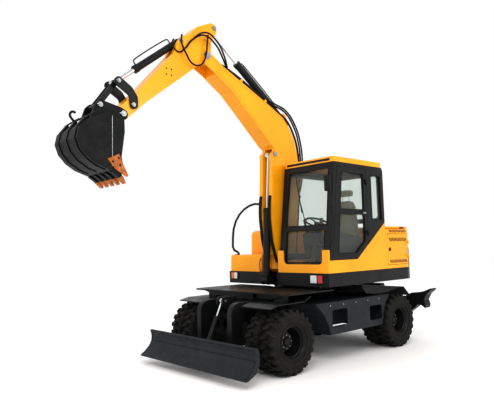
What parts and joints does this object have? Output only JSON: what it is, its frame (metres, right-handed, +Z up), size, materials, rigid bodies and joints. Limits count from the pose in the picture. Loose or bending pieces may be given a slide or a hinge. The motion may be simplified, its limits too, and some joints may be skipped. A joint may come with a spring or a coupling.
{
  "type": "wheeled excavator",
  "caption": "Compact wheeled excavator with twin tyres, front dozer blade, rear stabilisers, glazed cab, bent boom, arm and toothed bucket on a turning upper body.",
  "frame": {"origin": "on the ground under the middle of the whole machine's bounding box, at rest", "axes": "+X forward to the blade, +Y to the operator's left, the cab side, +Z up"},
  "size_m": [5.87, 2.57, 4.9031],
  "materials": {
    "yellow_paint": "satin yellow paint",
    "black_paint": "semi-gloss black paint",
    "dark_steel": "worn dark paint",
    "tyre": "matt black rubber",
    "chrome": "polished",
    "glass": "clear, faintly green",
    "seat_cloth": "olive beige cloth",
    "cast_iron": "dark casting",
    "plastic": "textured black"
  },
  "bodies": {
    "chassis": {"chassis_frame": "black_paint", "front_deck": "black_paint", "rear_deck": "black_paint", "left_side_box": "dark_steel", "right_side_box": "dark_steel", "slew_ring": "cast_iron", "front_axle": "black_paint", "rear_axle": "black_paint", "drive_shaft": "black_paint"},
    "upper": {"platform": "black_paint", "counterweight": "black_paint", "engine": "cast_iron", "engine_bay": "yellow_paint", "fuel_tank": "yellow_paint", "front_cover": "yellow_paint", "handrail": "black_paint", "cab_base": "yellow_paint", "cab_frame": "black_paint", "cab_roof": "yellow_paint", "windscreen": "glass", "right_window": "glass", "rear_window": "glass", "quarter_window": "glass", "cab_controls": "plastic", "seat": "seat_cloth"},
    "cab_door": {"cab_door": "black_paint", "door_glass": "glass"},
    "service_door": {"service_door": "yellow_paint"},
    "engine_hood": {"engine_hood": "yellow_paint"},
    "boom": {"boom": "yellow_paint"},
    "boom_cylinder_tube": {"boom_cylinder_tube": "black_paint"},
    "boom_cylinder_rod": {"boom_cylinder_rod": "chrome"},
    "arm": {"arm": "yellow_paint"},
    "arm_cylinder_tube": {"arm_cylinder_tube": "black_paint"},
    "arm_cylinder_rod": {"arm_cylinder_rod": "chrome"},
    "bucket": {"bucket": "dark_steel"},
    "guide_links": {"guide_links": "black_paint"},
    "bucket_link": {"bucket_link": "black_paint"},
    "bucket_cylinder_tube": {"bucket_cylinder_tube": "black_paint"},
    "bucket_cylinder_rod": {"bucket_cylinder_rod": "chrome"},
    "blade": {"blade": "dark_steel"},
    "blade_cylinder_tube": {"blade_cylinder_tube": "black_paint"},
    "blade_cylinder_rod": {"blade_cylinder_rod": "chrome"},
    "left_stabiliser": {"left_stabiliser": "black_paint"},
    "right_stabiliser": {"right_stabiliser": "black_paint"},
    "left_stabiliser_cylinder_tube": {"left_stabiliser_cylinder_tube": "black_paint"},
    "left_stabiliser_cylinder_rod": {"left_stabiliser_cylinder_rod": "chrome"},
    "right_stabiliser_cylinder_tube": {"right_stabiliser_cylinder_tube": "black_paint"},
    "right_stabiliser_cylinder_rod": {"right_stabiliser_cylinder_rod": "chrome"},
    "front_left_knuckle": {"front_left_knuckle": "black_paint"},
    "front_right_knuckle": {"front_right_knuckle": "black_paint"},
    "front_left_wheel": {"front_left_tyres": "tyre", "front_left_hub": "cast_iron"},
    "front_right_wheel": {"front_right_tyres": "tyre", "front_right_hub": "cast_iron"},
    "rear_left_wheel": {"rear_left_tyres": "tyre", "rear_left_hub": "cast_iron"},
    "rear_right_wheel": {"rear_right_tyres": "tyre", "rear_right_hub": "cast_iron"}
  },
  "joints": [
    {"name": "slew", "type": "hinge", "parent": "chassis", "child": "upper", "pos_m": [-1.04, 0, 1.03], "axis": [0, 0, 1], "continuous": true},
    {"name": "front_left_steering", "type": "hinge", "parent": "chassis", "child": "front_left_knuckle", "pos_m": [0.4315, 0.62, 0.41736], "axis": [0, 0, 1], "range_deg": [-27, 27]},
    {"name": "front_right_steering", "type": "hinge", "parent": "chassis", "child": "front_right_knuckle", "pos_m": [0.4315, -0.62, 0.41736], "axis": [0, 0, 1], "range_deg": [-27.54, 27.54]},
    {"name": "front_left_wheel_spin", "type": "hinge", "parent": "front_left_knuckle", "child": "front_left_wheel", "pos_m": [0.4315, 0.82, 0.41736], "axis": [0, 1, 0], "continuous": true},
    {"name": "front_right_wheel_spin", "type": "hinge", "parent": "front_right_knuckle", "child": "front_right_wheel", "pos_m": [0.4315, -0.82, 0.41736], "axis": [0, 1, 0], "continuous": true},
    {"name": "rear_left_wheel_spin", "type": "hinge", "parent": "chassis", "child": "rear_left_wheel", "pos_m": [-2.1115, 0.82, 0.41736], "axis": [0, 1, 0], "continuous": true},
    {"name": "rear_right_wheel_spin", "type": "hinge", "parent": "chassis", "child": "rear_right_wheel", "pos_m": [-2.1115, -0.82, 0.41736], "axis": [0, 1, 0], "continuous": true},
    {"name": "blade_lift", "type": "hinge", "parent": "chassis", "child": "blade", "pos_m": [0.78, 0, 0.33], "axis": [0, -1, 0], "range_deg": [-22, 30]},
    {"name": "blade_cylinder_swing", "type": "hinge", "parent": "blade", "child": "blade_cylinder_tube", "pos_m": [1.03, 0, 0.25], "axis": [0, -1, 0], "range_deg": [-23.55, 17.38]},
    {"name": "blade_cylinder_stroke", "type": "slide", "parent": "blade_cylinder_tube", "child": "blade_cylinder_rod", "axis": [-0.4363, 0, 0.8998], "range_m": [-0.1073, 0.0792]},
    {"name": "left_stabiliser_swing", "type": "hinge", "parent": "chassis", "child": "left_stabiliser", "pos_m": [-2.84, 0.6, 0.45], "axis": [-1, 0, 0], "range_deg": [0, 85]},
    {"name": "left_stabiliser_cylinder_swing", "type": "hinge", "parent": "chassis", "child": "left_stabiliser_cylinder_tube", "pos_m": [-2.84, 0.3, 0.86], "axis": [-1, 0, 0], "range_deg": [-0.18, 18.04]},
    {"name": "left_stabiliser_cylinder_stroke", "type": "slide", "parent": "left_stabiliser_cylinder_tube", "child": "left_stabiliser_cylinder_rod", "axis": [0, 0.9029, -0.4299], "range_m": [-0.0028, 0.2799]},
    {"name": "right_stabiliser_swing", "type": "hinge", "parent": "chassis", "child": "right_stabiliser", "pos_m": [-2.84, -0.6, 0.45], "axis": [1, 0, 0], "range_deg": [0, 85]},
    {"name": "right_stabiliser_cylinder_swing", "type": "hinge", "parent": "chassis", "child": "right_stabiliser_cylinder_tube", "pos_m": [-2.84, -0.3, 0.86], "axis": [1, 0, 0], "range_deg": [-0.18, 18.04]},
    {"name": "right_stabiliser_cylinder_stroke", "type": "slide", "parent": "right_stabiliser_cylinder_tube", "child": "right_stabiliser_cylinder_rod", "axis": [0, -0.9029, -0.4299], "range_m": [-0.0028, 0.2799]},
    {"name": "cab_door_hinge", "type": "hinge", "parent": "upper", "child": "cab_door", "pos_m": [-1.34, 1.0735, 2], "axis": [0, 0, 1], "range_deg": [0, 165]},
    {"name": "service_door_hinge", "type": "hinge", "parent": "upper", "child": "service_door", "pos_m": [-2.47, 1.0675, 1.5], "axis": [0, 0, 1], "range_deg": [0, 100]},
    {"name": "engine_hood_hinge", "type": "hinge", "parent": "upper", "child": "engine_hood", "pos_m": [-1.852, 0, 1.908], "axis": [0, 1, 0], "range_deg": [0, 60]},
    {"name": "boom_lift", "type": "hinge", "parent": "upper", "child": "boom", "pos_m": [-0.62, -0.11, 1.38], "axis": [0, -1, 0], "range_deg": [-85, 8]},
    {"name": "boom_cylinder_swing", "type": "hinge", "parent": "upper", "child": "boom_cylinder_tube", "pos_m": [-0.27, -0.11, 1.13], "axis": [0, -1, 0], "range_deg": [-83.15, 8.64]},
    {"name": "boom_cylinder_stroke", "type": "slide", "parent": "boom_cylinder_tube", "child": "boom_cylinder_rod", "axis": [-0.0709, 0, 0.9975], "range_m": [-0.5957, 0.0619]},
    {"name": "arm_swing", "type": "hinge", "parent": "boom", "child": "arm", "pos_m": [0.92, -0.11, 4.39], "axis": [0, 1, 0], "range_deg": [-55, 55]},
    {"name": "arm_cylinder_swing", "type": "hinge", "parent": "boom", "child": "arm_cylinder_tube", "pos_m": [-0.69, -0.11, 3.76], "axis": [0, 1, 0], "range_deg": [-3.21, 3.21]},
    {"name": "arm_cylinder_stroke", "type": "slide", "parent": "arm_cylinder_tube", "child": "arm_cylinder_rod", "axis": [0.802, 0, 0.5973], "range_m": [-0.4129, 0.4129]},
    {"name": "bucket_curl", "type": "hinge", "parent": "arm", "child": "bucket", "pos_m": [2.26, -0.11, 3.33], "axis": [0, 1, 0], "range_deg": [-70, 80]},
    {"name": "bucket_cylinder_swing", "type": "hinge", "parent": "arm", "child": "bucket_cylinder_tube", "pos_m": [1.349, -0.11, 4.513], "axis": [0, 1, 0], "range_deg": [-2.82, 2.47]},
    {"name": "bucket_cylinder_stroke", "type": "slide", "parent": "bucket_cylinder_tube", "child": "bucket_cylinder_rod", "axis": [0.7824, 0, -0.6228], "range_m": [-0.3059, 0.3486]},
    {"name": "guide_links_swing", "type": "hinge", "parent": "arm", "child": "guide_links", "pos_m": [2.114, -0.11, 3.469], "axis": [0, 1, 0], "range_deg": [-60.1, 68.5]},
    {"name": "bucket_link_swing", "type": "hinge", "parent": "guide_links", "child": "bucket_link", "pos_m": [2.32, -0.11, 3.74], "axis": [0, 1, 0], "range_deg": [-23.17, 20.33]}
  ],
  "couplings": [
    {"joint": "front_right_steering", "follows": "front_left_steering", "ratio": 1},
    {"joint": "blade_cylinder_swing", "follows": "blade_lift", "ratio": -0.7717},
    {"joint": "blade_cylinder_stroke", "follows": "blade_lift", "m_per_rad": -0.2014},
    {"joint": "left_stabiliser_cylinder_swing", "follows": "left_stabiliser_swing", "ratio": 0.2101},
    {"joint": "left_stabiliser_cylinder_stroke", "follows": "left_stabiliser_swing", "m_per_rad": 0.1868},
    {"joint": "right_stabiliser_cylinder_swing", "follows": "right_stabiliser_swing", "ratio": 0.2101},
    {"joint": "right_stabiliser_cylinder_stroke", "follows": "right_stabiliser_swing", "m_per_rad": 0.1868},
    {"joint": "boom_cylinder_swing", "follows": "boom_lift", "ratio": 0.9676},
    {"joint": "boom_cylinder_stroke", "follows": "boom_lift", "m_per_rad": 0.3972},
    {"joint": "arm_cylinder_swing", "follows": "arm_swing", "ratio": 0.0573},
    {"joint": "arm_cylinder_stroke", "follows": "arm_swing", "m_per_rad": 0.4217},
    {"joint": "bucket_cylinder_swing", "follows": "bucket_curl", "ratio": -0.0346},
    {"joint": "bucket_cylinder_stroke", "follows": "bucket_curl", "m_per_rad": 0.2451},
    {"joint": "guide_links_swing", "follows": "bucket_curl", "ratio": 0.8405},
    {"joint": "bucket_link_swing", "follows": "bucket_curl", "ratio": -0.2843}
  ]
}
